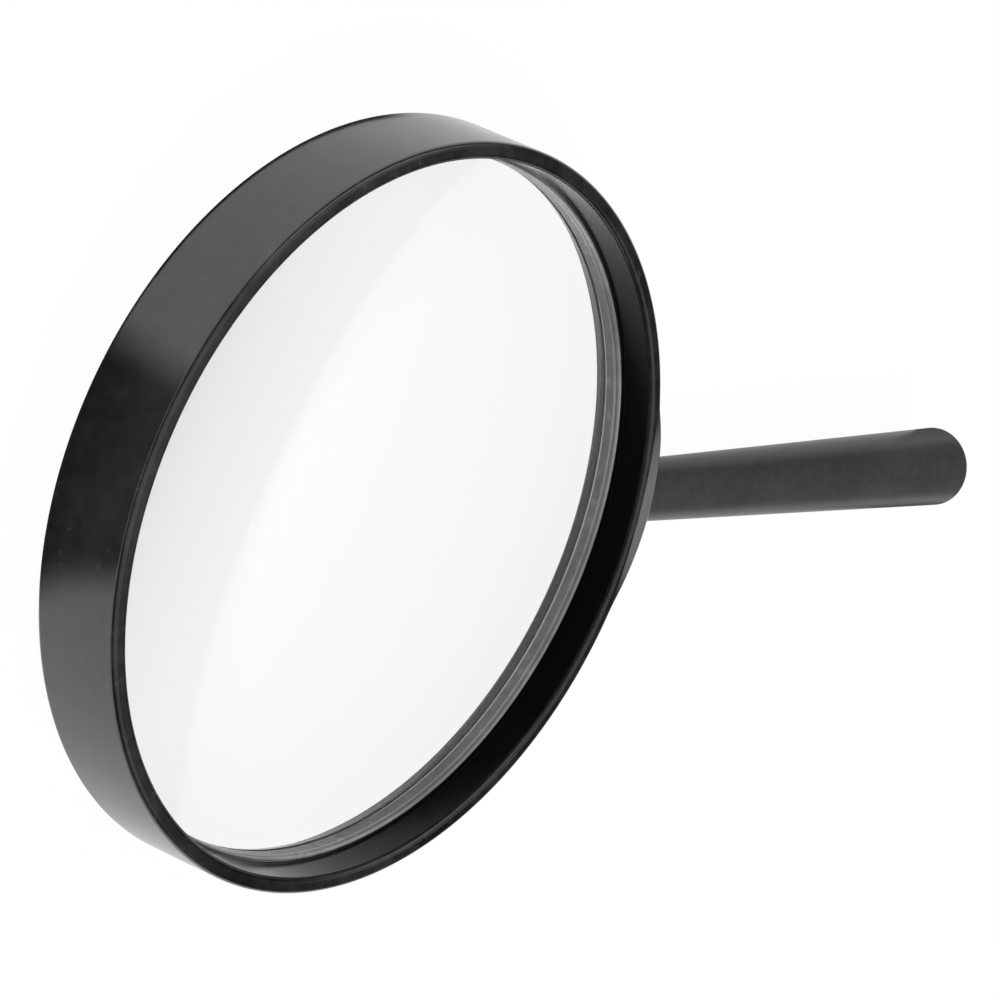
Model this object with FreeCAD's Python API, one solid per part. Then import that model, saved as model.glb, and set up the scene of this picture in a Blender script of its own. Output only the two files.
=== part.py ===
import FreeCAD, Part
import math
import os

from FreeCAD import Vector

# Large hand magnifying glass, lying flat on its rear rim. Sizes are in millimetres.
# The lens axis is Z, and Z = 0 is the plane of the rear rim. The front of the glass
# faces +Z. The handle runs along +X, half way up the band.

# Frame: one moulding with the band, the lens ledge and the handle boss.
FRAME_RADIUS = 68.0          # outer radius of the band at the front rim
BAND_DRAFT = 1.0             # how much wider the band is at the rear rim
BAND_WIDTH = 17.5            # rear rim to front rim
RIM_WALL = 3.0               # wall around the front and rear recesses
LEDGE_WIDTH = 0.9            # how far the lens ledge stands in from the wall
LEDGE_THICKNESS = 2.0
SEAT_HEIGHT = 5.0            # rear rim to the face that the lens lies on
FRONT_OUTER_ROUND = 0.9
FRONT_INNER_ROUND = 0.4
REAR_OUTER_ROUND = 1.2
REAR_INNER_ROUND = 0.5
LEDGE_ROUND = 0.3

# Lens: biconvex, with a narrow flat border that is clamped on the ledge.
LENS_EDGE_THICKNESS = 2.2
LENS_BULGE = 4.5             # height of each curved face above the flat border
LENS_SIDE_CLEARANCE = 0.15
LENS_BORDER_LAP = 0.2        # how far the flat border shows inside the ledge

# Retaining ring: pushed in over the lens until its rib snaps into the groove.
RETAINER_WIDTH = 0.9         # radial width of the ring
RETAINER_HEIGHT = 3.3
RETAINER_CLEARANCE = 0.03
RETAINER_BEAD_WIDTH = 0.4    # raised bead along the inner front edge
RETAINER_BEAD_HEIGHT = 0.35
RETAINER_EDGE_ROUND = 0.15
RETAINER_UNDERCUT = 0.2      # shallow step below the bead
RETAINER_UNDERCUT_HEIGHT = 1.7
RIB_RISE = 0.3               # how far the snap rib stands out
RIB_HEIGHT = 1.2
RIB_LEVEL = 1.0              # lens border to the bottom of the rib
RIB_CLEARANCE = 0.05

# Boss: the saddle on the band that carries the handle.
BOSS_RISE = 4.3              # how far its crown stands out from the band
BOSS_CROWN_RADIUS = 30.0     # curve of the crown, seen along the lens axis
BOSS_BLEND_RADIUS = 14.0     # hollow curve where it runs out into the band
BOSS_ROOT_DEPTH = 2.4        # how far its root reaches into the band
BOSS_SETBACK = 0.7           # from each rim to the side of the boss
BOSS_EDGE_ROUND = 2.6
HANDLE_SEAT_DEPTH = 0.7      # flat round seat sunk into the crown
HANDLE_SEAT_CLEARANCE = 0.25
STUD_HOLE_DEPTH = 5.3
STUD_HOLE_CHAMFER = 0.4

# Handle: tapered, thicker at its free end, moulded round its threaded stud.
HANDLE_LENGTH = 115.9
HANDLE_ROOT_RADIUS = 5.95
HANDLE_END_RADIUS = 8.6
HANDLE_ROOT_ROUND = 0.4
HANDLE_END_ROUND = 1.2
HANDLE_END_CROWN = 0.4       # how far the middle of the free end stands out
HANDLE_CROWN_RADIUS = 3.0    # the middle that stands out furthest
HANDLE_CROWN_ROUND = 18.0

# Stud: a steel screw with a knurled tail. Thread and knurl are plain cylinders here.
STUD_RADIUS = 2.5
STUD_REACH = 5.0             # how far it screws into the boss
STUD_TIP_CHAMFER = 0.5
STUD_NECK_RADIUS = 2.1
STUD_NECK_LENGTH = 1.5
STUD_SHANK_LENGTH = 2.5      # plain length inside the handle, before the neck
STUD_KNURL_RADIUS = 3.4
STUD_KNURL_LENGTH = 10.0
STUD_KNURL_CHAMFER = 0.4
STUD_THREAD_CLEARANCE = 0.05
STUD_HANDLE_CLEARANCE = 0.03

# Places that follow from the sizes above.
REAR_RADIUS = FRAME_RADIUS + BAND_DRAFT
BORE_RADIUS = FRAME_RADIUS - RIM_WALL
LEDGE_RADIUS = BORE_RADIUS - LEDGE_WIDTH
LENS_FRONT = SEAT_HEIGHT + LENS_EDGE_THICKNESS
MID_HEIGHT = BAND_WIDTH / 2
BOSS_CROWN = FRAME_RADIUS + BOSS_RISE
BOSS_BACK_RADIUS = FRAME_RADIUS - BOSS_ROOT_DEPTH
HANDLE_ROOT = BOSS_CROWN - HANDLE_SEAT_DEPTH
HANDLE_END = HANDLE_ROOT + HANDLE_LENGTH
LENS_AXIS = Vector(0, 0, 1)
HANDLE_AXIS = Vector(1, 0, 0)
HANDLE_CENTRE = Vector(0, 0, MID_HEIGHT)


def section_point(across, up):
    """Return a point of the XZ plane, in which every section is drawn."""
    return Vector(across, 0, up)


def rounded_section(corners):
    """Return the edges through (across, up, round) corners, with tangent arcs at the rounds."""
    points = [section_point(across, up) for across, up, _ in corners]
    runs = []
    for index, (_, _, radius) in enumerate(corners):
        corner = points[index]
        back = (points[index - 1] - corner).normalize()
        ahead = (points[(index + 1) % len(points)] - corner).normalize()
        if radius <= 0:
            runs.append((corner, None, corner))
            continue
        half_angle = back.getAngle(ahead) / 2
        inward = (back + ahead).normalize()
        reach = radius / math.tan(half_angle)
        middle = corner + inward * (radius / math.sin(half_angle) - radius)
        runs.append((corner + back * reach, middle, corner + ahead * reach))
    edges = []
    for index, (start, middle, end) in enumerate(runs):
        if middle is not None:
            edges.append(Part.Arc(start, middle, end).toShape())
        edges.append(Part.LineSegment(end, runs[(index + 1) % len(runs)][0]).toShape())
    return edges


def turned(edges, centre, axis):
    """Return the solid that a closed section sweeps in a full turn."""
    return Part.Face(Part.Wire(edges)).revolve(centre, axis, 360)


def turned_about_handle(corners):
    """Return the solid turned about the handle's axis from (along, radius, round) corners."""
    raised = [(along, radius + MID_HEIGHT, rounding) for along, radius, rounding in corners]
    return turned(rounded_section(raised), HANDLE_CENTRE, HANDLE_AXIS)


def boss_outline():
    """Return the boss's outline seen along the lens axis: crown, hollow run-outs and back."""
    crown_centre = BOSS_CROWN - BOSS_CROWN_RADIUS
    to_blend = FRAME_RADIUS + BOSS_BLEND_RADIUS
    crown_to_blend = BOSS_CROWN_RADIUS + BOSS_BLEND_RADIUS
    blend_x = (to_blend**2 - crown_to_blend**2 + crown_centre**2) / (2 * crown_centre)
    blend_y = math.sqrt(to_blend**2 - blend_x**2)
    blend_angle = math.atan2(blend_y, blend_x)
    crown_angle = math.atan2(blend_y, blend_x - crown_centre)

    def on_band(angle, radius=FRAME_RADIUS):
        return Vector(radius * math.cos(angle), radius * math.sin(angle), 0)

    def on_crown(angle):
        offset = Vector(math.cos(angle), math.sin(angle), 0) * BOSS_CROWN_RADIUS
        return Vector(crown_centre, 0, 0) + offset

    def hollow(side):
        turn = side * (blend_angle + crown_angle) / 2 + math.pi
        offset = Vector(math.cos(turn), math.sin(turn), 0) * BOSS_BLEND_RADIUS
        return Vector(blend_x, side * blend_y, 0) + offset

    right, left = on_band(-blend_angle), on_band(blend_angle)
    crown_right, crown_left = on_crown(-crown_angle), on_crown(crown_angle)
    back_right = on_band(-blend_angle, BOSS_BACK_RADIUS)
    back_left = on_band(blend_angle, BOSS_BACK_RADIUS)
    return [
        Part.Arc(right, hollow(-1), crown_right).toShape(),
        Part.Arc(crown_right, on_crown(0), crown_left).toShape(),
        Part.Arc(crown_left, hollow(1), left).toShape(),
        Part.LineSegment(left, back_left).toShape(),
        Part.Arc(back_left, on_band(0, BOSS_BACK_RADIUS), back_right).toShape(),
        Part.LineSegment(back_right, right).toShape(),
    ]


def make_boss():
    """Return the saddle, with its two outer edges rounded along crown and run-outs."""
    thickness = BAND_WIDTH - 2 * BOSS_SETBACK
    outline = Part.Face(Part.Wire(boss_outline()))
    outline.translate(Vector(0, 0, BOSS_SETBACK))
    block = outline.extrude(LENS_AXIS * thickness)
    outer_edges = []
    for edge in block.Edges:
        middle = edge.valueAt((edge.FirstParameter + edge.LastParameter) / 2)
        lies_flat = edge.BoundBox.ZLength < thickness / 2
        if lies_flat and math.hypot(middle.x, middle.y) > FRAME_RADIUS:
            outer_edges.append(edge)
    return block.makeFillet(BOSS_EDGE_ROUND, outer_edges)


def make_lens_frame():
    """Return the band with its recesses and ledge, the boss, and the handle's seat and hole."""
    groove_low = LENS_FRONT + RIB_LEVEL - RIB_CLEARANCE
    groove_high = groove_low + RIB_HEIGHT + 2 * RIB_CLEARANCE
    groove_radius = BORE_RADIUS - RETAINER_CLEARANCE + RIB_RISE + RIB_CLEARANCE
    ledge_rear = SEAT_HEIGHT - LEDGE_THICKNESS
    band = turned(
        rounded_section([
            (BORE_RADIUS, 0, REAR_INNER_ROUND),
            (REAR_RADIUS, 0, REAR_OUTER_ROUND),
            (FRAME_RADIUS, BAND_WIDTH, FRONT_OUTER_ROUND),
            (BORE_RADIUS, BAND_WIDTH, FRONT_INNER_ROUND),
            (BORE_RADIUS, groove_high, 0),
            (groove_radius, groove_high, 0),
            (groove_radius, groove_low, 0),
            (BORE_RADIUS, groove_low, 0),
            (BORE_RADIUS, SEAT_HEIGHT, 0),
            (LEDGE_RADIUS, SEAT_HEIGHT, 0),
            (LEDGE_RADIUS, ledge_rear, LEDGE_ROUND),
            (BORE_RADIUS, ledge_rear, LEDGE_ROUND),
        ]),
        Vector(0, 0, 0),
        LENS_AXIS,
    )
    seat_centre = HANDLE_CENTRE + HANDLE_AXIS * HANDLE_ROOT
    seat_radius = HANDLE_ROOT_RADIUS + HANDLE_SEAT_CLEARANCE
    seat = Part.makeCylinder(seat_radius, BOSS_RISE, seat_centre, HANDLE_AXIS)
    hole_radius = STUD_RADIUS + STUD_THREAD_CLEARANCE
    hole_end = HANDLE_ROOT - STUD_HOLE_DEPTH
    hole = turned_about_handle([
        (hole_end, 0, 0),
        (HANDLE_ROOT + BOSS_RISE, 0, 0),
        (HANDLE_ROOT + BOSS_RISE, hole_radius + STUD_HOLE_CHAMFER, 0),
        (HANDLE_ROOT, hole_radius + STUD_HOLE_CHAMFER, 0),
        (HANDLE_ROOT - STUD_HOLE_CHAMFER, hole_radius, 0),
        (hole_end, hole_radius, 0),
    ])
    return band.fuse(make_boss()).removeSplitter().cut(seat).cut(hole)


def make_lens():
    """Return the biconvex lens with its flat border."""
    edge_radius = BORE_RADIUS - LENS_SIDE_CLEARANCE
    curve_radius = LEDGE_RADIUS - LENS_BORDER_LAP
    ball_radius = (curve_radius**2 + LENS_BULGE**2) / (2 * LENS_BULGE)
    half = curve_radius / 2
    half_drop = ball_radius - math.sqrt(ball_radius**2 - half**2)
    rear_pole = section_point(0, SEAT_HEIGHT - LENS_BULGE)
    front_pole = section_point(0, LENS_FRONT + LENS_BULGE)
    rear_curve = section_point(curve_radius, SEAT_HEIGHT)
    front_curve = section_point(curve_radius, LENS_FRONT)
    rear_edge = section_point(edge_radius, SEAT_HEIGHT)
    front_edge = section_point(edge_radius, LENS_FRONT)
    return turned(
        [
            Part.Arc(rear_pole, section_point(half, rear_pole.z + half_drop), rear_curve).toShape(),
            Part.LineSegment(rear_curve, rear_edge).toShape(),
            Part.LineSegment(rear_edge, front_edge).toShape(),
            Part.LineSegment(front_edge, front_curve).toShape(),
            Part.Arc(front_curve, section_point(half, front_pole.z - half_drop), front_pole).toShape(),
            Part.LineSegment(front_pole, rear_pole).toShape(),
        ],
        Vector(0, 0, 0),
        LENS_AXIS,
    )


def make_retaining_ring():
    """Return the ring with its snap rib outside and its bead and step inside."""
    outer = BORE_RADIUS - RETAINER_CLEARANCE
    inner = BORE_RADIUS - RETAINER_WIDTH
    front = LENS_FRONT + RETAINER_HEIGHT
    face = front - RETAINER_BEAD_HEIGHT
    rib_low = LENS_FRONT + RIB_LEVEL
    step = LENS_FRONT + RETAINER_UNDERCUT_HEIGHT
    return turned(
        rounded_section([
            (inner + RETAINER_UNDERCUT, LENS_FRONT, 0),
            (outer, LENS_FRONT, 0),
            (outer, rib_low, 0),
            (outer + RIB_RISE, rib_low, 0),
            (outer + RIB_RISE, rib_low + RIB_HEIGHT / 2, 0),
            (outer, rib_low + RIB_HEIGHT, 0),
            (outer, face, RETAINER_EDGE_ROUND),
            (inner + RETAINER_BEAD_WIDTH, face, 0),
            (inner + RETAINER_BEAD_WIDTH, front, RETAINER_EDGE_ROUND),
            (inner, front, RETAINER_EDGE_ROUND),
            (inner, step, RETAINER_EDGE_ROUND),
            (inner + RETAINER_UNDERCUT, step, 0),
        ]),
        Vector(0, 0, 0),
        LENS_AXIS,
    )


def stud_corners(tip, clearance):
    """Return the stud's half section from its tip on, grown by a clearance."""
    thread = STUD_RADIUS + clearance
    neck = STUD_NECK_RADIUS + clearance
    knurl = STUD_KNURL_RADIUS + clearance
    neck_start = HANDLE_ROOT + STUD_SHANK_LENGTH - clearance
    knurl_start = HANDLE_ROOT + STUD_SHANK_LENGTH + STUD_NECK_LENGTH - clearance
    tail = HANDLE_ROOT + STUD_SHANK_LENGTH + STUD_NECK_LENGTH + STUD_KNURL_LENGTH + clearance
    return [
        (tip, 0, 0),
        (tip, thread - STUD_TIP_CHAMFER, 0),
        (tip + STUD_TIP_CHAMFER, thread, 0),
        (neck_start + 2 * clearance, thread, 0),
        (neck_start + 2 * clearance, neck, 0),
        (knurl_start, neck, 0),
        (knurl_start, knurl, 0),
        (tail - STUD_KNURL_CHAMFER, knurl, 0),
        (tail, knurl - STUD_KNURL_CHAMFER, 0),
        (tail, 0, 0),
    ]


def make_handle_stud():
    """Return the stud, half in the boss and half in the handle."""
    return turned_about_handle(stud_corners(HANDLE_ROOT - STUD_REACH, 0))


def make_handle():
    """Return the tapered handle with the stud's pocket in its root."""
    body = turned_about_handle([
        (HANDLE_ROOT, 0, 0),
        (HANDLE_ROOT, HANDLE_ROOT_RADIUS, HANDLE_ROOT_ROUND),
        (HANDLE_END - HANDLE_END_CROWN, HANDLE_END_RADIUS, HANDLE_END_ROUND),
        (HANDLE_END, HANDLE_CROWN_RADIUS, HANDLE_CROWN_ROUND),
        (HANDLE_END, 0, 0),
    ])
    pocket = turned_about_handle(stud_corners(HANDLE_ROOT - STUD_REACH, STUD_HANDLE_CLEARANCE))
    return body.cut(pocket)


PIECES = {
    "lens_frame": make_lens_frame,
    "lens": make_lens,
    "retaining_ring": make_retaining_ring,
    "handle": make_handle,
    "handle_stud": make_handle_stud,
}

os.makedirs("parts", exist_ok=True)
for name, make in PIECES.items():
    piece = make()
    piece.exportStep("parts/" + name + ".step")
    box = piece.BoundBox
    print(name, len(piece.Solids), piece.isValid(), round(piece.Volume, 1),
          [round(value, 2) for value in (box.XMin, box.YMin, box.ZMin, box.XMax, box.YMax, box.ZMax)])
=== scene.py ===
"""Finish a packed hand magnifying glass, and set its studio and camera."""

import math

import bpy
from bpy.props import FloatProperty, FloatVectorProperty, IntProperty, PointerProperty
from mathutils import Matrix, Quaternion, Vector


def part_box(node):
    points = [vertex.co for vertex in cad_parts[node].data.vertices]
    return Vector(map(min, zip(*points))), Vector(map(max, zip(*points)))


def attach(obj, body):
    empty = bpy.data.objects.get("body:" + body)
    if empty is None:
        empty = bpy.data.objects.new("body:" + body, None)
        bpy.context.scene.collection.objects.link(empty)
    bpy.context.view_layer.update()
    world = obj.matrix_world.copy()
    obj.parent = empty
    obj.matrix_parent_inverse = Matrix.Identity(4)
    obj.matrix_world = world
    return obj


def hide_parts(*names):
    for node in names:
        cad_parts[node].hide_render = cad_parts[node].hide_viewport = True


bl_info = {
    "name": "Hand magnifying glass",
    "version": (1, 0, 0),
    "blender": (4, 5, 0),
    "location": "3D View > Sidebar > Magnifier",
    "description": "Finishes a packed hand magnifying glass and sets its studio",
    "category": "Object",
}

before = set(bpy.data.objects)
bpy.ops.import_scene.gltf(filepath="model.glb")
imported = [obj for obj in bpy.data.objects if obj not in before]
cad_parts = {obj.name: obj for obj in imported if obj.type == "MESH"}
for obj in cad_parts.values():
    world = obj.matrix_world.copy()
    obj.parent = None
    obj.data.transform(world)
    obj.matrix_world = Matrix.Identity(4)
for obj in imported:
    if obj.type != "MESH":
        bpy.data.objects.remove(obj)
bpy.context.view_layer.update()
FRAME_LOW, FRAME_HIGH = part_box("lens_frame")
LENS_LOW, LENS_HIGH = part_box("lens")
RING_LOW, RING_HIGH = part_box("retaining_ring")
_, HANDLE_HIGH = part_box("handle")
STUD_LOW, STUD_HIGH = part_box("handle_stud")
MID_HEIGHT = FRAME_HIGH.z / 2
REAR_RADIUS = -FRAME_LOW.x
SEAT_HEIGHT = 0.005  # where the lens rests on its ledge
SUPPORT = 0.00004  # from a rounding's end to the point that keeps the flat beside it flat

# steps round the frame and the ring, the lens, the stud and the floor
FRAME_STEPS = 720
LENS_STEPS = 256
LENS_RINGS = 40  # rings of faces on each of the lens's curves
STUD_STEPS = 96
FLOOR_STEPS = 96
FLOOR_DROP = 0.00005  # from the object's underside to the floor

# roundings of the frame's plain edges
BORE_EDGE = 0.0005
REAR_EDGE = 0.0012
FRONT_EDGE = 0.0009
RIM_FLAT_INSET = 0.00105  # from the band to where the front rim is flat

# the handle's seat, the stud's hole and the ejector marks
SEAT_STEPS = 64
HOLE_CHAMFER = 0.0004
CUT_ABOVE = 0.002  # how far the cut goes on beyond the boss
MARK_STEPS = 40
MARK_TOP = 0.00003  # half the width of a mark's edge at its top
MARK_FOOT = 0.00006  # half its width at its foot
MARK_SINK = 0.00002  # how deep the foot lies in the ledge

# the retaining ring's bead, snap rib and groove
BEAD_RISE = 0.00035
BEAD_WIDTH = 0.0004
RIB_START = 0.001  # from the ring's foot to its snap rib
RIB_WIDTH = 0.0006
RIB_LENGTH = 0.0012  # with the slope beyond it
GROOVE_FLOOR = 0.6  # share of the groove's width

# the stud's thread and knurl
THREAD_FLAT = 0.15  # share of the wave that is flat, at the crest and at the root
THREAD_RUNOUT = 0.0006
TIP_CHAMFER = 0.0005
KNURL_LAND = 0.35  # share of the wave that no groove takes
KNURL_DEPTH = 0.0003
KNURL_CHAMFER = 0.0004

# scales of the plastic's marks, in cells a metre
CLOUDS = 55.0
MOTTLE = 420.0
GRAIN = 2400.0
SINKS = 38.0
CURLS = 26.0
SPECKS = 170.0
SPECK_SHARE = 0.05  # share of the cells that hold a speck
SPECK_SIZE = 0.035  # in cells
DUST = (0.32, 0.32, 0.31, 1.0)
SHEEN_ROUGHNESS = 0.18
EDGE_WEAR_AND_HIGHLIGHT = (0.0004, 0.0012)  # distances from an edge over which its wear and its painted highlight fade

# soft lights in the surroundings: direction about the lens axis, from the handle, and the
# cosines of the angle from it at which the light starts and is full
BEYOND = (math.radians(-12.0), 0.75, 0.95)
BESIDE = (math.radians(-62.0), 0.85, 0.97)
ABOVE = (math.radians(77.0), 0.5, 0.72)

# the shade cards' grey (painted shade that shows only in reflections), height over the floor, and faces
# along their length
SHADE_CARD_GREY = (0.1, 0.1, 0.1, 1.0)
CARD_HEIGHT = 0.0001
CARD_FACES = 32
WHITE = (1.0, 1.0, 1.0, 1.0)


def length(name, default, description):
    """A size in metres that a user may change."""
    return FloatProperty(name=name, default=default, description=description, unit="LENGTH", precision=5)


def amount(name, default, description, high=1.0):
    """A plain number from zero up."""
    return FloatProperty(name=name, default=default, description=description, min=0.0, max=high, precision=4)


def lamp_power(name, default, description):
    """The power of a lamp."""
    return FloatProperty(name=name, default=default, description=description, min=0.0, unit="POWER")


def angle_of(name, degrees, description):
    """An angle."""
    return FloatProperty(name=name, default=math.radians(degrees), description=description, subtype="ANGLE")


def location(name, default, description):
    """A point in the scene."""
    return FloatVectorProperty(name=name, default=default, description=description, subtype="TRANSLATION")


def colour(name, default, description):
    """A colour as light reflects from it."""
    return FloatVectorProperty(
        name=name, default=default, description=description, subtype="COLOR", size=3, min=0.0, max=1.0
    )


class FrameSettings(bpy.types.PropertyGroup):
    """The moulded frame: its black plastic, and the darker walls inside."""

    plastic: colour("Plastic", (0.006, 0.006, 0.0063), "Colour of the moulded band and rims")
    polish: amount("Roughness", 0.17, "Roughness of the band and rims")
    shine: amount("Shine", 1.0, "Specular level of the band and rims")
    recess: colour("Recess", (0.002, 0.002, 0.002), "Colour of the walls inside")
    recess_roughness: amount("Recess roughness", 0.13, "Roughness of the walls inside")
    recess_shine: amount("Recess shine", 0.2, "Specular level of the walls inside")
    recess_sheen: amount("Recess sheen", 0.9, "Soft bloom of the walls inside at a glancing angle")
    lip: length("Lip", 0.0009, "Rounding of the front rim's inner edge")
    front_radius: length("Front radius", 0.068, "Outer radius of the band at its front rim")
    bore_radius: length("Bore radius", 0.065, "Radius of the wall inside the rims")
    ledge_radius: length("Ledge radius", 0.0641, "Radius inside the ledge that carries the lens")
    ledge_thickness: length("Ledge thickness", 0.002, "Thickness of the lens ledge")
    groove_radius: length("Groove radius", 0.06532, "Radius of the groove for the ring's snap rib")
    groove_low: length("Groove bottom", 0.00815, "Height of the groove's lower side")
    groove_high: length("Groove top", 0.00945, "Height of the groove's upper side")
    boss_rise: length("Boss rise", 0.0043, "How far the boss stands out from the band")
    crown_radius: length("Boss crown radius", 0.03, "Curve of the boss, seen along the lens axis")
    blend_radius: length("Boss run-out radius", 0.014, "Hollow curve where the boss meets the band")
    shoulder: length("Boss shoulder", 0.0016, "Rounding of the boss's front shoulder")
    heel: length("Boss heel", 0.0026, "Rounding of the boss's rear shoulder")
    slope_start: length("Slope start", 0.0662, "Radius at which the boss's front face starts to slope")
    slope_drop: length("Slope drop", 0.0015, "How far the boss's front face slopes down to its crown")
    seat_depth: length("Seat depth", 0.0007, "Depth of the round seat for the handle")
    seat_radius: length("Seat radius", 0.0062, "Radius of the round seat")
    hole_radius: length("Hole radius", 0.00255, "Radius of the stud's hole")
    hole_depth: length("Hole depth", 0.0053, "Depth of the stud's hole below the seat")
    pins: IntProperty(name="Ejector marks", default=8, min=0, description="Marks on the ledge's rear")
    pin_radius: length("Ejector mark radius", 0.0003, "Radius of each ejector mark")
    pin_rise: length("Ejector mark rise", 0.00006, "How far the edge of each mark stands out")


class LensSettings(bpy.types.PropertyGroup):
    """The biconvex lens."""

    edge_thickness: length("Edge thickness", 0.0022, "Thickness of the flat border")
    border: length("Border", 0.00076, "Radial width of the flat border that is clamped")
    chamfer: length("Chamfer", 0.00008, "Width of the bevel on the ground edge")
    relief: length("Relief", 0.00001, "Air left between the border and what clamps it")
    refraction: amount("Index", 1.52, "Refractive index of the glass", high=3.0)
    tint: colour("Tint", (0.998, 1.0, 0.999), "Colour of the glass")
    shine: amount("Shine", 0.1, "Specular level of the glass")


class RetainerSettings(bpy.types.PropertyGroup):
    """The ring that holds the lens in."""

    plastic: colour("Plastic", (0.2, 0.2, 0.204), "Colour of the ring's plastic")
    polish: amount("Roughness", 0.26, "Roughness of the ring")
    shine: amount("Shine", 0.5, "Specular level of the ring")
    groove_height: length("Groove height", 0.0095, "Height of the groove round the ring's inner wall")
    groove_width: length("Groove width", 0.0005, "Width of the groove round the ring's inner wall")
    groove_depth: length("Groove depth", 0.0004, "Depth of the groove round the ring's inner wall")
    rib_rise: length("Rib rise", 0.0003, "How far the snap rib stands out")


class HandleSettings(bpy.types.PropertyGroup):
    """The tapered handle."""

    plastic: colour("Plastic", (0.037, 0.037, 0.038), "Colour of the handle's plastic")
    polish: amount("Roughness", 0.33, "Roughness of the handle")
    shine: amount("Shine", 0.12, "Specular level of the handle")


class StudSettings(bpy.types.PropertyGroup):
    """The steel stud that joins handle and frame."""

    steel: colour("Steel", (0.56, 0.55, 0.53), "Colour of the steel")
    polish: amount("Roughness", 0.3, "Roughness of the steel")
    pitch: length("Pitch", 0.0008, "Advance of the thread in one turn")
    depth: length("Thread depth", 0.00042, "From crest to root")
    thread_length: length("Thread length", 0.0072, "From the tip to the end of the thread")
    neck_radius: length("Neck radius", 0.0021, "Radius of the plain neck in the handle")
    neck_end: length("Neck end", 0.009, "From the tip to the start of the knurl")
    thread_radius: length("Thread radius", 0.0025, "Radius over the thread's crests")
    knurls: IntProperty(name="Knurl teeth", default=20, min=3, description="Diamonds round the tail")


class StageSettings(bpy.types.PropertyGroup):
    """Floor, surroundings, lamps and camera."""

    floor: colour("Floor", (0.9, 0.9, 0.9), "Colour of the pale floor")
    floor_radius: length("Floor radius", 4.0, "Radius of the floor")
    backdrop: amount("Backdrop", 0.965, "How much of the floor is shown as plain white behind the object")
    horizon: amount("Horizon light", 0.16, "Brightness of the surroundings near the horizon", high=2.0)
    ceiling: amount("Ceiling light", 0.42, "Brightness of the surroundings overhead", high=2.0)
    beyond: amount("Light beyond", 0.65, "Extra brightness near the horizon beyond the handle", high=2.0)
    beside: amount("Light beside", 0.9, "Extra brightness near the horizon to one side", high=2.0)
    above: amount("Light above", 1.0, "Brightness of a soft patch halfway up on the other side", high=2.0)
    gap: amount("Gap light", 0.02, "Brightness between horizon and ceiling", high=2.0)
    key_power: lamp_power("Key lamp", 15.0, "Large soft lamp")
    back_power: lamp_power("Back lamp", 6.0, "Lamp over the handle")
    fill_power: lamp_power("Fill lamp", 6.0, "Lamp facing the handle")
    # the shade cards: painted shade on the floor that only reflections show
    shade_card_start: angle_of("Card start", 153.5, "Where the band's black card begins")
    shade_card_end: angle_of("Card end", 190.0, "Where the band's black card ends")
    shade_card_fade: angle_of("Card fade", 9.0, "Width of the cards' soft edges")
    camera_place: location("Camera place", (-0.3891, 0.1320, 0.3293), "Camera position")
    camera_target: location("Camera target", (0.0342, 0.0003, 0.00875), "Point looked at")
    camera_roll: angle_of("Camera roll", 113.34, "Turn about the line of sight")
    focal_length: FloatProperty(
        name="Focal length", default=108.0, min=1.0, unit="CAMERA", description="The camera's focal length"
    )


class MagnifierSettings(bpy.types.PropertyGroup):
    """All sizes and colours of the magnifying glass and its stage."""

    band: PointerProperty(type=FrameSettings)
    lens: PointerProperty(type=LensSettings)
    retainer: PointerProperty(type=RetainerSettings)
    handle: PointerProperty(type=HandleSettings)
    stud: PointerProperty(type=StudSettings)
    stage: PointerProperty(type=StageSettings)


class Socket:
    """A shader node's output. Arithmetic on it adds Math nodes to its tree."""

    def __init__(self, tree, output):
        self.tree = tree
        self.output = output

    def maths(self, operation, *values, clamp=False):
        """Return a Math node's result for these values, in order."""
        settings = {"operation": operation, "use_clamp": clamp}
        return self.tree.node("ShaderNodeMath", settings, dict(enumerate(values)))[0]

    def __add__(self, other):
        return self.maths("ADD", self, other)

    __radd__ = __add__

    def __sub__(self, other):
        return self.maths("SUBTRACT", self, other)

    def __rsub__(self, other):
        return self.maths("SUBTRACT", other, self)

    def __mul__(self, other):
        return self.maths("MULTIPLY", self, other)

    __rmul__ = __mul__

    def __pow__(self, other):
        return self.maths("POWER", self, other)

    def __abs__(self):
        return self.maths("ABSOLUTE", self)

    def clamped(self):
        """Return the value held between zero and one."""
        return self.maths("ADD", self, 0.0, clamp=True)

    def rising(self, low, high):
        """Return a smooth step from zero at low to one at high."""
        return self.tree.node(
            "ShaderNodeMapRange",
            {"interpolation_type": "SMOOTHSTEP"},
            {"Value": self, "From Min": low, "From Max": high},
        )["Result"]


class Made:
    """A node that has been added, whose outputs are read as Sockets."""

    def __init__(self, tree, node):
        self.tree = tree
        self.node = node

    def __getitem__(self, key):
        return Socket(self.tree, self.node.outputs[key])


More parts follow.
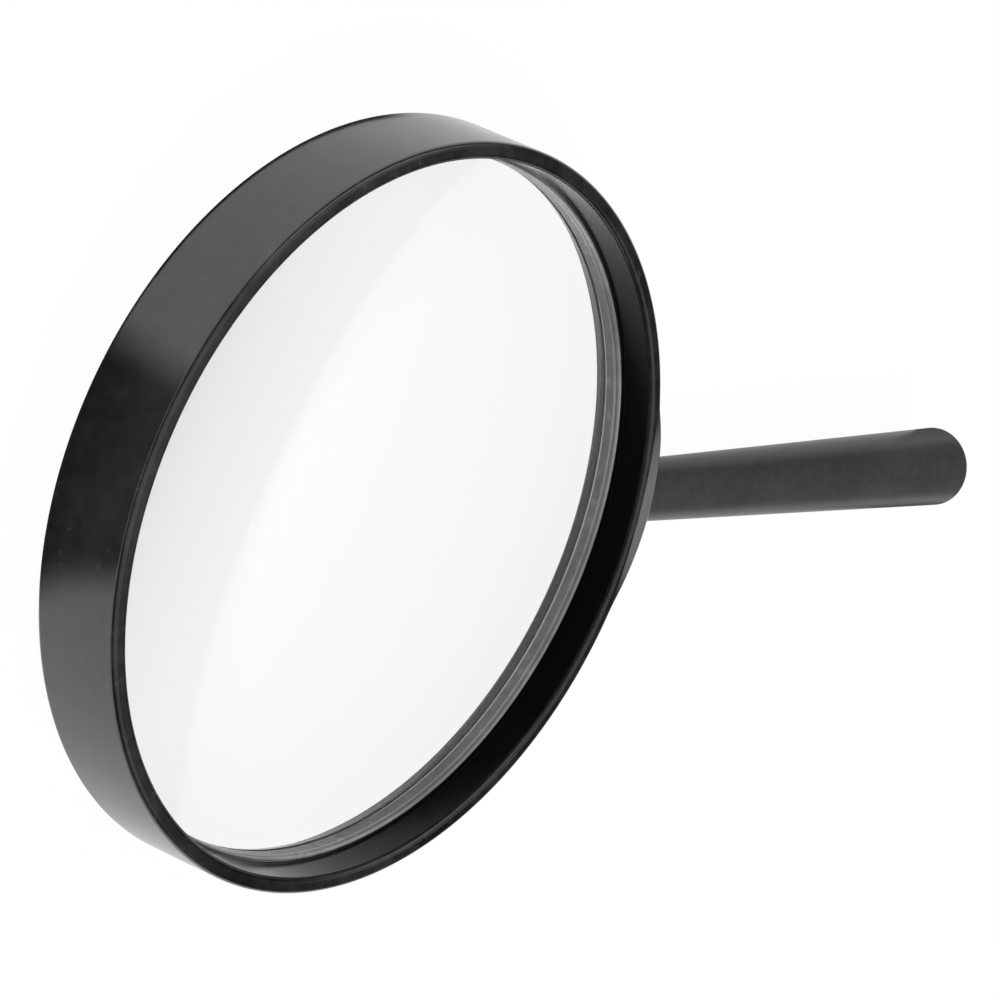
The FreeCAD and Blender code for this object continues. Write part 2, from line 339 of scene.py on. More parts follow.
class ShaderTree:
    """Adds nodes to the tree of a material or the world."""

    def __init__(self, owner):
        owner.use_nodes = True
        self.nodes = owner.node_tree.nodes
        self.links = owner.node_tree.links
        self.nodes.clear()

    def node(self, kind, settings=None, values=None):
        """Add a node: its settings first, then the values or links of its inputs."""
        made = self.nodes.new(kind)
        for name, setting in (settings or {}).items():
            setattr(made, name, setting)
        for key, value in (values or {}).items():
            if isinstance(value, Socket):
                self.links.new(value.output, made.inputs[key])
            else:
                made.inputs[key].default_value = value
        return Made(self, made)

    def mixed(self, factor, first, second):
        """Return the blend of two colours."""
        return self.node("ShaderNodeMix", {"data_type": "RGBA"}, {0: factor, 6: first, 7: second})[2]

    def noise(self, place, scale, detail=2.0, roughness=0.5):
        """Return noise from about zero to one, with a scale in cells a metre."""
        values = {"Vector": place, "Scale": scale, "Detail": detail, "Roughness": roughness}
        return self.node("ShaderNodeTexNoise", None, values)["Fac"]

    def object_place(self):
        """Return the point on the piece, in the frame that the pieces are built in."""
        return self.node("ShaderNodeTexCoord")["Object"]

    def parts(self, place):
        """Return the x, y and z of a point."""
        split = self.node("ShaderNodeSeparateXYZ", None, {"Vector": place})
        return split["X"], split["Y"], split["Z"]

    def joined(self, x, y, z):
        """Return a point from its x, y and z."""
        return self.node("ShaderNodeCombineXYZ", None, {"X": x, "Y": y, "Z": z})["Vector"]

    def bump(self, height, distance, below=None):
        """Return a normal bent by a height from zero to one over a distance in metres."""
        values = {"Strength": 1.0, "Distance": distance, "Height": height}
        if below is not None:
            values["Normal"] = below
        return self.node("ShaderNodeBump", None, values)["Normal"]

    def finish(self, shader, kind="ShaderNodeOutputMaterial"):
        """Link a shader to the tree's output."""
        self.node(kind, None, {"Surface": shader})


def tone(values):
    """Return a colour with full alpha."""
    return (*values[:3], 1.0)


def dust(tree, place, cells, share, size):
    """Return a mask of sparse specks: cells a metre, the share that hold one, and its size in cells."""
    cell = tree.node("ShaderNodeTexVoronoi", None, {"Vector": place, "Scale": cells})
    chance = tree.parts(cell["Color"])[0]
    held = chance.maths("LESS_THAN", chance, share)
    return held * (1.0 - cell["Distance"].rising(size * 0.4, size))


def shown_to(rays, *kinds):
    """Return 1 for the camera's rays and for these other kinds of ray, and 0 for the rest."""
    seen = rays["Is Camera Ray"]
    for kind in kinds:
        seen = seen.maths("MAXIMUM", seen, rays[kind])
    return seen


def moulded_finish(tree, place, plastic, polish, wear_and_highlight=None, calm=1.0):
    """Return the colour, roughness and normal of moulded plastic at a point.

    The edge mask marks edges painted lighter: rubbed by handling, and on some a painted highlight. calm
    scales the patchiness.
    """
    cloud = tree.noise(place, CLOUDS, 3.0)
    mottle = tree.noise(place, MOTTLE, 3.0, 0.6)
    grain = tree.noise(place, GRAIN, 2.0, 0.6)
    sink = tree.noise(place, SINKS, 1.0)
    curl = tree.noise(place, CURLS, 4.0, 0.6)
    scuff = (1.0 - abs(curl - 0.5).rising(0.0012, 0.004)) * mottle.rising(0.5, 0.62)
    specks = dust(tree, place, SPECKS, SPECK_SHARE, SPECK_SIZE)
    darker = [(1.0 - 0.2 * calm) * part for part in plastic]
    lighter = [(1.0 + 0.3 * calm) * part + 0.011 * calm for part in plastic]
    ground = tree.mixed((cloud * 0.5 + mottle * 0.5).rising(0.35, 0.7), tone(darker), tone(lighter))
    # lighter, patchy edges: rubbed wear, and painted highlights where the mask stands for them
    if wear_and_highlight is not None:
        rubbed_and_lit = (wear_and_highlight * cloud.rising(0.3, 0.65) * 0.7).clamped()
        ground = tree.mixed(rubbed_and_lit, ground, tone([2.2 * part + 0.017 for part in plastic]))
    ground = tree.mixed((specks * 0.8 + scuff * 0.04).clamped(), ground, DUST)
    patches = cloud * (0.14 * calm) + mottle * (0.06 * calm) + (polish - 0.1 * calm)
    roughness = (patches + specks * 0.3 + scuff * 0.1).clamped()
    normal = tree.bump(grain * 0.6 + mottle * 0.4, 0.000012, tree.bump(sink, 0.00035 * calm))
    return ground, roughness, normal


def plastic_shader(tree, ground, roughness, normal, specular, sheen=0.0):
    """Return a plastic surface with a constant specular level and sheen."""
    return tree.node(
        "ShaderNodeBsdfPrincipled",
        None,
        {
            "Base Color": ground,
            "Roughness": roughness,
            "Normal": normal,
            "IOR": 1.5,
            "Specular IOR Level": specular,
            "Sheen Weight": sheen,
            "Sheen Roughness": SHEEN_ROUGHNESS,
        },
    )["BSDF"]


def band_material(settings):
    """Black plastic of the frame: glossy outside, darker with a soft bloom on the walls inside."""
    material = bpy.data.materials.new("band_plastic")
    tree = ShaderTree(material)
    place = tree.object_place()
    x, y, z = tree.parts(place)
    radius = (x * x + y * y) ** 0.5
    front = abs(z - FRAME_HIGH.z)
    from_front_edge = front + abs(radius - settings.front_radius)
    from_rear_edge = abs(z) + abs(radius - REAR_RADIUS)
    # the front edge's lighter line is part wear, part painted highlight; the rear edge's is wear
    front_wear_and_highlight = (1.0 - from_front_edge.rising(*EDGE_WEAR_AND_HIGHLIGHT)) * (1.0 - front.rising(0.0003, 0.0006))
    wear_rear = 1.0 - from_rear_edge.rising(*EDGE_WEAR_AND_HIGHLIGHT)
    ground, roughness, normal = moulded_finish(
        tree, place, settings.plastic, settings.polish, (front_wear_and_highlight + wear_rear * 0.6).clamped()
    )
    gloss = plastic_shader(tree, ground, roughness, normal, settings.shine)
    fine = tree.noise(place, 1900.0, 2.0, 0.65)
    inner_ground = tree.mixed(fine, tone(settings.recess), tone([2.0 * part for part in settings.recess]))
    inner_roughness = (fine * 0.12 + (settings.recess_roughness - 0.06)).clamped()
    inner_normal = tree.bump(fine, 0.000008)
    bloom = plastic_shader(
        tree, inner_ground, inner_roughness, inner_normal, settings.recess_shine, settings.recess_sheen
    )
    # the walls inside: from just over the lens's seat to the rim's rounding, and weaker behind the lens
    wall = 1.0 - radius.rising(settings.bore_radius + 0.0001, settings.bore_radius + 0.0004)
    lip = FRAME_HIGH.z - settings.lip
    recess = 1.0 - z.rising(lip - 0.0002, lip + 0.0003)
    recess = recess * z.rising(SEAT_HEIGHT + 0.0006, SEAT_HEIGHT + 0.0009)
    behind = 1.0 - z.rising(SEAT_HEIGHT - 0.0002, SEAT_HEIGHT)
    mask = wall * (recess + behind * 0.6)
    tree.finish(tree.node("ShaderNodeMixShader", None, {0: mask, 1: gloss, 2: bloom})[0])
    return material


def handle_material(settings):
    """Calm moulded plastic of the handle."""
    material = bpy.data.materials.new("handle_plastic")
    tree = ShaderTree(material)
    ground, roughness, normal = moulded_finish(
        tree, tree.object_place(), settings.plastic, settings.polish, calm=0.4
    )
    tree.finish(plastic_shader(tree, ground, roughness, normal, settings.shine))
    return material


def retainer_material(settings, inner, outer):
    """Grey plastic of the retaining ring, with painted highlights, patchy like rubbed wear, on its bead,
    below its groove and on its outer edge.
    """
    material = bpy.data.materials.new("retainer_plastic")
    tree = ShaderTree(material)
    place = tree.object_place()
    x, y, z = tree.parts(place)
    radius = (x * x + y * y) ** 0.5
    top = RING_HIGH.z
    foot = settings.groove_height - settings.groove_width / 2
    # painted highlight lines on the bead, under the groove and on the outer edge
    near = 1.0 - radius.rising(inner + 0.0004, inner + 0.0005)
    bead = near * z.rising(top - 0.0006, top - 0.0003)
    lip = near * z.rising(foot - 0.0004, foot - 0.0002) * (1.0 - z.rising(foot + 0.0001, foot + 0.0002))
    rim = radius.rising(outer - 0.0002, outer - 0.0001) * z.rising(top - 0.0007, top - 0.0005)
    ground, roughness, normal = moulded_finish(
        tree, place, settings.plastic, settings.polish, (bead + lip + rim).clamped(), 0.7
    )
    tree.finish(plastic_shader(tree, ground, roughness, normal, settings.shine))
    return material


def glass_material(settings):
    """Clear lens glass with the faintest smears on it."""
    material = bpy.data.materials.new("lens_glass")
    tree = ShaderTree(material)
    place = tree.object_place()
    smear = tree.noise(place, 60.0, 3.0).rising(0.62, 0.85)
    clear = tree.node(
        "ShaderNodeBsdfPrincipled",
        None,
        {
            "Base Color": tone(settings.tint),
            "Roughness": smear * 0.02,
            "IOR": settings.refraction,
            "Specular IOR Level": settings.shine,
            "Transmission Weight": 1.0,
        },
    )["BSDF"]
    tree.finish(clear)
    return material


def ground_glass_material(settings):
    """The lens's ground edge."""
    material = bpy.data.materials.new("lens_edge")
    tree = ShaderTree(material)
    place = tree.object_place()
    fine = tree.noise(place, 3000.0, 2.0)
    frosted = tree.node(
        "ShaderNodeBsdfPrincipled",
        None,
        {
            "Base Color": (0.8, 0.83, 0.82, 1.0),
            "Roughness": fine * 0.2 + 0.45,
            "Normal": tree.bump(fine, 0.00002),
            "IOR": settings.refraction,
            "Transmission Weight": 0.35,
        },
    )["BSDF"]
    tree.finish(frosted)
    return material


def steel_material(settings):
    """Turned steel, with fine marks that run round the stud."""
    material = bpy.data.materials.new("stud_steel")
    tree = ShaderTree(material)
    place = tree.object_place()
    x, y, z = tree.parts(place)
    marks = tree.noise(tree.joined(x * 12.0, y, z), 900.0, 3.0)
    stain = tree.noise(place, 400.0, 3.0)
    stained = tone([0.7 * part for part in settings.steel])
    ground = tree.mixed(stain.rising(0.3, 0.8), tone(settings.steel), stained)
    tree.finish(tree.node(
        "ShaderNodeBsdfPrincipled",
        None,
        {
            "Base Color": ground,
            "Metallic": 1.0,
            "Roughness": (marks * 0.16 + stain * 0.1 + (settings.polish - 0.13)).clamped(),
            "Normal": tree.bump(marks, 0.000006),
        },
    )["BSDF"])
    return material


def smooth(mesh, sharp_angle):
    """Shade a mesh smooth, apart from its edges above an angle."""
    mesh.validate()
    mesh.shade_smooth()
    mesh.set_sharp_from_angle(angle=math.radians(sharp_angle))
    return mesh


def new_mesh(name, points, faces, sharp_angle=30.0):
    """Return a smooth-shaded mesh whose edges above an angle stay sharp."""
    mesh = bpy.data.meshes.new(name)
    mesh.from_pydata(points, [], faces)
    return smooth(mesh, sharp_angle)


def new_piece(name, mesh, body, materials):
    """Return a mesh piece that rides on a body and takes its finish from a slot."""
    piece = bpy.data.objects.new(name, mesh)
    bpy.context.scene.collection.objects.link(piece)
    for material in materials:
        mesh.materials.append(material)
    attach(piece, body)
    return piece


def dress(node, material):
    """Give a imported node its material."""
    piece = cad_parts[node]
    piece.data.materials.clear()
    piece.data.materials.append(material)


def rounded_section(corners):
    """Return the closed section through (radius, along, reach back, reach ahead, steps) corners.

    A corner with steps is rounded, with a close point beyond each end that keeps the flats flat.
    """
    spots = [Vector(corner[:2]) for corner in corners]
    section = []
    for index, (_, _, reach_back, reach_ahead, steps) in enumerate(corners):
        spot = spots[index]
        if not steps:
            section.append(tuple(spot))
            continue
        back = (spots[index - 1] - spot).normalized()
        ahead = (spots[(index + 1) % len(spots)] - spot).normalized()
        section.append(tuple(spot + back * (reach_back + SUPPORT)))
        for step in range(steps + 1):
            turn = math.pi / 2 * step / steps
            before, after = back * reach_back, ahead * reach_ahead
            section.append(tuple(spot + before * (1 - math.sin(turn)) + after * (1 - math.cos(turn))))
        section.append(tuple(spot + ahead * (reach_ahead + SUPPORT)))
    return section


def turned(section, steps, to_point, closed=False):
    """Return the points of a section turned about an axis, its faces, and each face's place on it.

    section holds (radius, along) pairs, or returns them for an angle. An open one starts and ends
    on the axis. to_point(radius, angle, along) places each point.
    """
    angles = [math.tau * step / steps for step in range(steps)]
    sections = [section(angle) if callable(section) else section for angle in angles]
    points, rows = [], []
    for index, (radius, along) in enumerate(sections[0]):
        if radius <= 0:
            rows.append([len(points)] * steps)
            points.append(to_point(0.0, 0.0, along))
        else:
            rows.append([len(points) + step for step in range(steps)])
            for each, angle in zip(sections, angles):
                points.append(to_point(each[index][0], angle, each[index][1]))
    faces, runs = [], []
    pairs = list(zip(rows, rows[1:])) + ([(rows[-1], rows[0])] if closed else [])
    for run, (low, high) in enumerate(pairs):
        for step in range(steps):
            ahead = (step + 1) % steps
            corners = [low[step], low[ahead], high[ahead], high[step]]
            faces.append(list(dict.fromkeys(corners)))
            runs.append(run)
    return points, faces, runs


def about_lens(radius, angle, along):
    """Place a point turned about the lens axis."""
    return (radius * math.cos(angle), radius * math.sin(angle), along)


def about_handle(radius, angle, along):
    """Place a point turned about the handle's axis."""
    return (along, radius * math.cos(angle), MID_HEIGHT + radius * math.sin(angle))


def settings_of(context, group):
    """Return one group of the scene's magnifier settings."""
    return getattr(context.scene.magnifier, group)


def boss_outline(settings, angle):
    """Return how far the boss reaches from the lens axis at an angle; beside it, the band's radius."""
    band = settings.front_radius
    centre = band + settings.boss_rise - settings.crown_radius
    to_hollow = band + settings.blend_radius
    apart = settings.crown_radius + settings.blend_radius
    hollow_x = (to_hollow**2 - apart**2 + centre**2) / (2 * centre)
    hollow_y = math.sqrt(to_hollow**2 - hollow_x**2)
    hollow_angle = math.atan2(hollow_y, hollow_x)
    crown_turn = math.atan2(hollow_y, hollow_x - centre)
    crown_x = centre + settings.crown_radius * math.cos(crown_turn)
    crown_angle = math.atan2(settings.crown_radius * math.sin(crown_turn), crown_x)
    aside = abs((angle + math.pi) % math.tau - math.pi)
    if aside <= crown_angle:
        half_chord = math.sqrt(settings.crown_radius**2 - (centre * math.sin(aside)) ** 2)
        return centre * math.cos(aside) + half_chord
    if aside < hollow_angle:
        near = to_hollow * math.cos(aside - hollow_angle)
        return near - math.sqrt(max(near**2 - to_hollow**2 + settings.blend_radius**2, 0.0))
    return band


class MouldFrame(bpy.types.Operator):
    """Make the frame: band, rims, lens ledge and boss in one moulding, with its ejector marks"""

    bl_idname = "magnifier.mould_frame"
    bl_label = "Mould the frame"

    def execute(self, context):
        settings = settings_of(context, "band")
        material = band_material(settings)
        points, faces, _ = turned(
            lambda angle: self.section(settings, angle), FRAME_STEPS, about_lens, closed=True
        )
        blank = bpy.data.objects.new("frame_blank", bpy.data.meshes.new("frame_blank"))
        blank.data.from_pydata(points, [], faces)
        context.scene.collection.objects.link(blank)
        cutter = self.cutter(context, settings)
        cut = blank.modifiers.new("seat_and_hole", "BOOLEAN")
        cut.operation = "DIFFERENCE"
        cut.solver = "EXACT"
        cut.object = cutter
        context.view_layer.update()
        mesh = bpy.data.meshes.new_from_object(blank.evaluated_get(context.evaluated_depsgraph_get()))
        for spare in (blank, cutter):
            bpy.data.objects.remove(spare)
        smooth(mesh, 30.0)
        moulding = new_piece("moulded_frame", mesh, "frame", [material])
        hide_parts("lens_frame")
        self.mark_pins(settings, material)
        return {"FINISHED"}

    def section(self, settings, angle):
        """Return the frame's section at an angle about the lens axis."""
        front, bore, ledge = settings.front_radius, settings.bore_radius, settings.ledge_radius
        outline = boss_outline(settings, angle)
        share = (outline - front) / settings.boss_rise
        seat, top = SEAT_HEIGHT, FRAME_HIGH.z
        under = seat - settings.ledge_thickness

        def grown(plain, full):
            return plain + (full - plain) * share

        heel, shoulder = grown(REAR_EDGE, settings.heel), grown(FRONT_EDGE, settings.shoulder)
        return rounded_section([
            (bore, 0.0, BORE_EDGE, BORE_EDGE, 4),
            (max(REAR_RADIUS, outline), 0.0, heel, heel, 12),
            (outline, top - settings.slope_drop * share, shoulder, shoulder, 12),
            (grown(front - RIM_FLAT_INSET, settings.slope_start), top, 0.0001, 0.0001, 3),
            (bore, top, settings.lip, settings.lip, 8),
            (bore, settings.groove_high, 0, 0, 0),
            (settings.groove_radius, settings.groove_high, 0, 0, 0),
            (settings.groove_radius, settings.groove_low, 0, 0, 0),
            (bore, settings.groove_low, 0, 0, 0),
            (bore, seat, 0, 0, 0),
            (ledge, seat, 0.0001, 0.0001, 2),
            (ledge, under, 0.0003, 0.0003, 4),
            (bore, under, 0.0003, 0.0003, 4),
        ])

    def cutter(self, context, settings):
        """Return the block that cuts the handle's seat and the stud's hole, with its chamfer."""
        crown = settings.front_radius + settings.boss_rise
        seat = crown - settings.seat_depth
        radius = settings.hole_radius
        section = [
            (0.0, seat - settings.hole_depth),
            (radius, seat - settings.hole_depth),
            (radius, seat - HOLE_CHAMFER),
            (radius + HOLE_CHAMFER, seat),
            (settings.seat_radius, seat),
            (settings.seat_radius, crown + CUT_ABOVE),
            (0.0, crown + CUT_ABOVE),
        ]
        points, faces, _ = turned(section, SEAT_STEPS, about_handle)
        mesh = bpy.data.meshes.new("seat_cutter")
        mesh.from_pydata(points, [], faces)
        cutter = bpy.data.objects.new("seat_cutter", mesh)
        context.scene.collection.objects.link(cutter)
        return cutter

    def mark_pins(self, settings, material):
        """Raise the round edge that each ejector pin leaves on the rear of the ledge."""
        under = SEAT_HEIGHT - settings.ledge_thickness
        reach = (settings.bore_radius + settings.ledge_radius) / 2
        radius, rise = settings.pin_radius, settings.pin_rise
        section = [
            (radius - MARK_FOOT, under + MARK_SINK),
            (radius - MARK_TOP, under - rise),
            (radius + MARK_TOP, under - rise),
            (radius + MARK_FOOT, under + MARK_SINK),
        ]
        points, faces = [], []
        for pin in range(settings.pins):
            turn = math.tau * (pin + 0.5) / settings.pins
            centre_x, centre_y = reach * math.cos(turn), reach * math.sin(turn)

            def about_pin(radius, angle, along):
                return (centre_x + radius * math.cos(angle), centre_y + radius * math.sin(angle), along)

            ring_points, ring_faces, _ = turned(section, MARK_STEPS, about_pin, closed=True)
            faces += [[len(points) + corner for corner in face] for face in ring_faces]
            points += ring_points
        mesh = new_mesh("ejector_marks", points, faces)
        new_piece("ejector_marks", mesh, "frame", [material])


class FitLens(bpy.types.Operator):
    """Make the biconvex lens with its ground edge"""

    bl_idname = "magnifier.fit_lens"
    bl_label = "Fit the lens"

    def execute(self, context):
        settings = settings_of(context, "lens")
        edge = LENS_HIGH.x
        middle = (LENS_LOW.z + LENS_HIGH.z) / 2
        half = settings.edge_thickness / 2 - settings.relief
        curve = edge - settings.border
        bulge = LENS_HIGH.z - middle - half
        ball = (curve**2 + bulge**2) / (2 * bulge)

        def cap(side):
            rise = []
            for ring in range(LENS_RINGS + 1):
                radius = curve * ring / LENS_RINGS
                drop = ball - math.sqrt(ball**2 - radius**2)
                rise.append((radius, middle + side * (half + bulge - drop)))
            return rise

        front, rear = cap(1), cap(-1)
        chamfer = settings.chamfer
        section = rear + [(edge - chamfer, middle - half), (edge, middle - half + chamfer)]
        section += [(edge, middle + half - chamfer), (edge - chamfer, middle + half)] + front[::-1]
        points, faces, runs = turned(section, LENS_STEPS, about_lens)
        mesh = new_mesh("lens_glass", points, faces, 4.0)
        materials = [glass_material(settings), ground_glass_material(settings)]
        lens = new_piece("lens_glass", mesh, "frame", materials)
        for face, run in zip(mesh.polygons, runs):
            if LENS_RINGS + 1 <= run <= LENS_RINGS + 3:
                face.material_index = 1
        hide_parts("lens")
        lens.visible_shadow = False  # lamplight goes through glass, and shadow rays would stop at it
        return {"FINISHED"}


class TurnRetainer(bpy.types.Operator):
    """Make the retaining ring, with its bead, its groove and its snap rib"""

    bl_idname = "magnifier.turn_retainer"
    bl_label = "Turn the retaining ring"

    def execute(self, context):
        settings = settings_of(context, "retainer")
        outer, inner = RING_HIGH.x - settings.rib_rise, settings_of(context, "band").ledge_radius
        low, high = RING_LOW.z, RING_HIGH.z
        face = high - BEAD_RISE
        groove, half = settings.groove_height, settings.groove_width / 2
        deep = inner + settings.groove_depth
        rib = low + RIB_START
        bead = inner + BEAD_WIDTH
        floor = GROOVE_FLOOR * half
        section = rounded_section([
            (inner, low, 0, 0, 0),
            (outer, low, 0, 0, 0),
            (outer, rib, 0, 0, 0),
            (RING_HIGH.x, rib, 0, 0, 0),
            (RING_HIGH.x, rib + RIB_WIDTH, 0, 0, 0),
            (outer, rib + RIB_LENGTH, 0, 0, 0),
            (outer, face, 0.00015, 0.00015, 4),
            (bead, face, 0.0001, 0.0001, 3),
            (bead, high, 0.00015, 0.00015, 5),
            (inner, high, 0.00015, 0.0003, 6),
            (inner, groove + half, 0.0001, 0.0001, 4),
            (deep, groove + floor, 0.00004, 0.00004, 3),
            (deep, groove - floor, 0.00004, 0.00004, 3),
            (inner, groove - half, 0.0001, 0.0001, 4),
        ])
        points, faces, _ = turned(section, FRAME_STEPS, about_lens, closed=True)
        mesh = new_mesh("snap_ring", points, faces)
        material = retainer_material(settings, inner, outer)
        ring = new_piece("snap_ring", mesh, "frame", [material])
        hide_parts("retaining_ring")
        return {"FINISHED"}


class FinishHandle(bpy.types.Operator):
    """Give the handle its plastic"""

    bl_idname = "magnifier.finish_handle"
    bl_label = "Finish the handle"

    def execute(self, context):
        dress("handle", handle_material(settings_of(context, "handle")))
        return {"FINISHED"}


class CutStud(bpy.types.Operator):
    """Make the steel stud with its thread and its knurled tail"""

    bl_idname = "magnifier.cut_stud"
    bl_label = "Cut the stud"

    def execute(self, context):
        settings = settings_of(context, "stud")
        knurl_radius = STUD_HIGH.y
        total = STUD_HIGH.x - STUD_LOW.x

        def thread(along, turn):
            """Radius of the thread: flat crests and roots with straight flanks."""
            wave = 1 - abs(2 * ((along / settings.pitch - turn) % 1.0) - 1)
            flank = min(max((wave - THREAD_FLAT) / (1 - 2 * THREAD_FLAT), 0.0), 1.0)
            runout = min(max((settings.thread_length - along) / THREAD_RUNOUT, 0.0), 1.0)
            crest = min(settings.thread_radius, settings.thread_radius - TIP_CHAMFER + along)
            return crest - settings.depth * (1 - flank * runout)

        def knurl(along, turn):
            """Radius of the knurl: diamonds between two crossing sets of grooves."""
            reach = min(along - settings.neck_end, total - along)
            lean = along / (math.tau * knurl_radius)
            grooves = [abs(2 * ((settings.knurls * (turn + side * lean)) % 1.0) - 1) for side in (-1, 1)]
            groove = max(max(grooves) - KNURL_LAND, 0.0) / (1 - KNURL_LAND)
            return min(knurl_radius - KNURL_DEPTH * groove, knurl_radius - KNURL_CHAMFER + reach)

        rows = round(total / (settings.pitch / 10))
        places = [STUD_LOW.x + total * row / rows for row in range(rows + 1)]
        section = [(0.0, STUD_LOW.x)] + [(1.0, along) for along in places] + [(0.0, STUD_HIGH.x)]

        def place(radius, angle, along):
            if radius:
                reach = along - STUD_LOW.x
                if reach <= settings.thread_length:
                    radius = thread(reach, angle / math.tau)
                elif reach < settings.neck_end:
                    radius = settings.neck_radius
                else:
                    radius = knurl(reach, angle / math.tau)
            return about_handle(radius, angle, along)

        points, faces, _ = turned(section, STUD_STEPS, place)
        mesh = new_mesh("threaded_stud", points, faces, 40.0)
        stud = new_piece("threaded_stud", mesh, "stud", [steel_material(settings)])
        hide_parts("handle_stud")
        return {"FINISHED"}


class SetStage(bpy.types.Operator):
    """Set the pale floor, the surroundings, the soft lamps and the camera"""

    bl_idname = "magnifier.set_stage"
    bl_label = "Set the stage"

    def execute(self, context):
        settings = settings_of(context, "stage")
        self.lay_floor(context, settings)
        self.lay_shade_cards(context, settings)
        self.light_world(context, settings)
        self.hang_lamps(context, settings)
        self.place_camera(context, settings)
        context.scene.view_settings.view_transform = "Standard"
        return {"FINISHED"}

    def lay_floor(self, context, settings):
        """A round pale floor that shows white to the camera, with the object's shadow on it."""
        material = bpy.data.materials.new("pale_floor")
        tree = ShaderTree(material)
        seen = shown_to(tree.node("ShaderNodeLightPath"), "Is Transmission Ray", "Is Glossy Ray")
        matt = tree.node("ShaderNodeBsdfDiffuse", None, {"Color": tone(settings.floor)})["BSDF"]
        white = tree.node("ShaderNodeEmission", None, {"Color": WHITE, "Strength": 1.0})["Emission"]
        shown = {0: seen * settings.backdrop, 1: matt, 2: white}
        tree.finish(tree.node("ShaderNodeMixShader", None, shown)[0])
        turns = [math.tau * step / FLOOR_STEPS for step in range(FLOOR_STEPS)]
        points = [about_lens(settings.floor_radius, turn, -FLOOR_DROP) for turn in turns]
        mesh = new_mesh("floor", points, [list(range(FLOOR_STEPS))])
        mesh.materials.append(material)
        floor = bpy.data.objects.new("floor", mesh)
        context.scene.collection.objects.link(floor)

    def lay_shade_cards(self, context, settings):
        """Painted shade: black cards on the floor that show only in what the plastic mirrors, as dark
        stripes that stand in for shade on the floor.
        """
        start, end, fade = settings.shade_card_start, settings.shade_card_end, settings.shade_card_fade
        band, tip = settings_of(context, "band").front_radius, HANDLE_HIGH.x
        cards = (  # name, first and last angle, inner and outer radius
            ("band_shade_card", start, end, band + 0.0013, 0.14),
            # a painted contact shadow beside the rear edge, seen only in its reflection
            ("rim_card", math.radians(95.0), end, band - 0.002, band + 0.0022),
            ("end_shade_card", math.radians(-16.0), math.radians(6.0), tip + 0.0007, 0.26),
        )
        for name, first, last, inner, outer in cards:
            reach = (last - first) / 2 + fade
            near = (first + last) / 2 - reach
            turns = [near + 2 * reach * step / CARD_FACES for step in range(CARD_FACES + 1)]
            points = [about_lens(radius, turn, CARD_HEIGHT) for radius in (inner, outer) for turn in turns]
            row = len(turns)
            faces = [[step, step + 1, step + 1 + row, step + row] for step in range(CARD_FACES)]
            mesh = new_mesh(name, points, faces)
            mesh.materials.append(self.shade_card_material(name, first, last, fade))
            card = bpy.data.objects.new(name, mesh)
            context.scene.collection.objects.link(card)
            card.visible_camera = card.visible_transmission = False
            card.visible_diffuse = card.visible_shadow = False

    def shade_card_material(self, name, first, last, fade):
        """Painted shade: dark between two angles about the lens axis, with soft ends."""
        material = bpy.data.materials.new(name)
        tree = ShaderTree(material)
        x, y, _ = tree.parts(tree.object_place())
        middle, half = (first + last) / 2, (last - first) / 2
        forward = x * math.cos(middle) + y * math.sin(middle)
        sideways = y * math.cos(middle) - x * math.sin(middle)
        aside = abs(sideways.maths("ARCTAN2", sideways, forward))
        dark = 1.0 - aside.rising(half - fade / 2, half + fade / 2)
        # painted shade, seen only in reflections
        black = tree.node("ShaderNodeBsdfDiffuse", None, {"Color": SHADE_CARD_GREY})["BSDF"]
        clear = tree.node("ShaderNodeBsdfTransparent")["BSDF"]
        tree.finish(tree.node("ShaderNodeMixShader", None, {0: dark, 1: clear, 2: black})[0])
        return material

    def light_world(self, context, settings):
        """Surroundings that show white to the camera and through glass, and as a light are soft patches.

        Mirrored light comes from the patches too, so that dark plastic keeps its darkness.
        """
        world = bpy.data.worlds.new("surroundings")
        context.scene.world = world
        tree = ShaderTree(world)
        seen = shown_to(tree.node("ShaderNodeLightPath"), "Is Transmission Ray")
        along, aside, height = tree.parts(tree.node("ShaderNodeTexCoord")["Generated"])

        def patch(direction, start, full):
            return (along * math.cos(direction) + aside * math.sin(direction)).rising(start, full)

        beyond, beside, above = patch(*BEYOND), patch(*BESIDE), patch(*ABOVE)
        low = 1.0 - height.rising(0.05, 0.3)
        middle = height.rising(0.35, 0.5) * (1.0 - height.rising(0.66, 0.75))
        high = height.rising(0.6, 0.72)
        light = low * (beyond * settings.beyond + beside * settings.beside + settings.horizon)
        light = light + middle * above * settings.above + high * settings.ceiling + settings.gap
        strength = light + seen * (1.0 - light)
        background = tree.node("ShaderNodeBackground", None, {"Color": WHITE, "Strength": strength})
        tree.finish(background["Background"], "ShaderNodeOutputWorld")

    def hang_lamps(self, context, settings):
        """Three large soft lamps."""
        lamps = (  # name, power, size and place
            ("key_lamp", settings.key_power, 0.9, (0.35, -1.0, 0.85)),
            ("back_lamp", settings.back_power, 0.7, (0.9, 0.35, 0.8)),
            ("fill_lamp", settings.fill_power, 0.7, (-0.85, 0.1, 0.85)),
        )
        for name, power, size, place in lamps:
            lamp = bpy.data.lights.new(name, "AREA")
            lamp.shape = "DISK"
            lamp.size = size
            lamp.energy = power
            holder = bpy.data.objects.new(name, lamp)
            context.scene.collection.objects.link(holder)
            holder.location = place
            holder.rotation_mode = "QUATERNION"
            holder.rotation_quaternion = (-Vector(place)).to_track_quat("-Z", "Y")
            holder.visible_glossy = False
            holder.visible_transmission = False

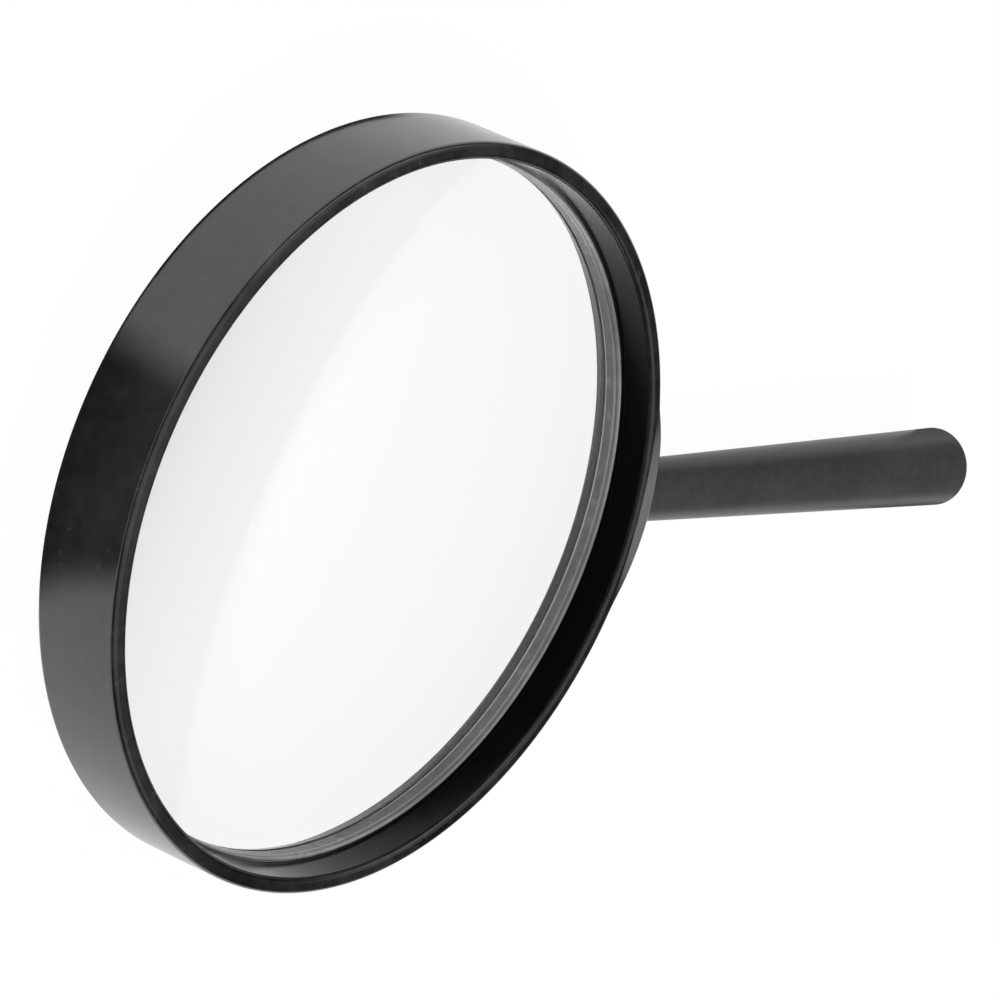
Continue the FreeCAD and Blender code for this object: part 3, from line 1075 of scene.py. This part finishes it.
    def place_camera(self, context, settings):
        """The camera, turned about its line of sight."""
        data = bpy.data.cameras.new("camera")
        data.lens = settings.focal_length
        data.sensor_width = 36.0
        data.clip_start = 0.01
        data.clip_end = 50.0
        camera = bpy.data.objects.new("camera", data)
        context.scene.collection.objects.link(camera)
        place = Vector(settings.camera_place)
        sight = Vector(settings.camera_target) - place
        camera.location = place
        camera.rotation_mode = "QUATERNION"
        roll = Quaternion((0.0, 0.0, 1.0), settings.camera_roll)
        camera.rotation_quaternion = sight.to_track_quat("-Z", "Y") @ roll
        context.scene.camera = camera


class MagnifierPanel(bpy.types.Panel):
    """The operators and settings of the magnifying glass"""

    bl_idname = "VIEW3D_PT_magnifier"
    bl_label = "Magnifying glass"
    bl_space_type = "VIEW_3D"
    bl_region_type = "UI"
    bl_category = "Magnifier"

    def draw(self, context):
        settings = context.scene.magnifier
        for group, operator in STEPS:
            box = self.layout.box()
            box.operator(operator.bl_idname)
            values = getattr(settings, group)
            for name in values.__annotations__:
                box.prop(values, name)


STEPS = (
    ("stage", SetStage),
    ("band", MouldFrame),
    ("lens", FitLens),
    ("retainer", TurnRetainer),
    ("handle", FinishHandle),
    ("stud", CutStud),
)
CLASSES = (
    FrameSettings, LensSettings, RetainerSettings, HandleSettings, StudSettings, StageSettings,
    MagnifierSettings, SetStage, MouldFrame, FitLens, TurnRetainer, FinishHandle, CutStud, MagnifierPanel,
)


def register():
    """Register the settings, the operators and the panel."""
    for each in CLASSES:
        bpy.utils.register_class(each)
    bpy.types.Scene.magnifier = PointerProperty(type=MagnifierSettings)


def unregister():
    """Take them away again."""
    del bpy.types.Scene.magnifier
    for each in reversed(CLASSES):
        bpy.utils.unregister_class(each)


def main():
    """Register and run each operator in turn."""
    register()
    bpy.ops.magnifier.set_stage()
    bpy.ops.magnifier.mould_frame()
    bpy.ops.magnifier.fit_lens()
    bpy.ops.magnifier.turn_retainer()
    bpy.ops.magnifier.finish_handle()
    bpy.ops.magnifier.cut_stud()


if __name__ == "__main__":
    main()
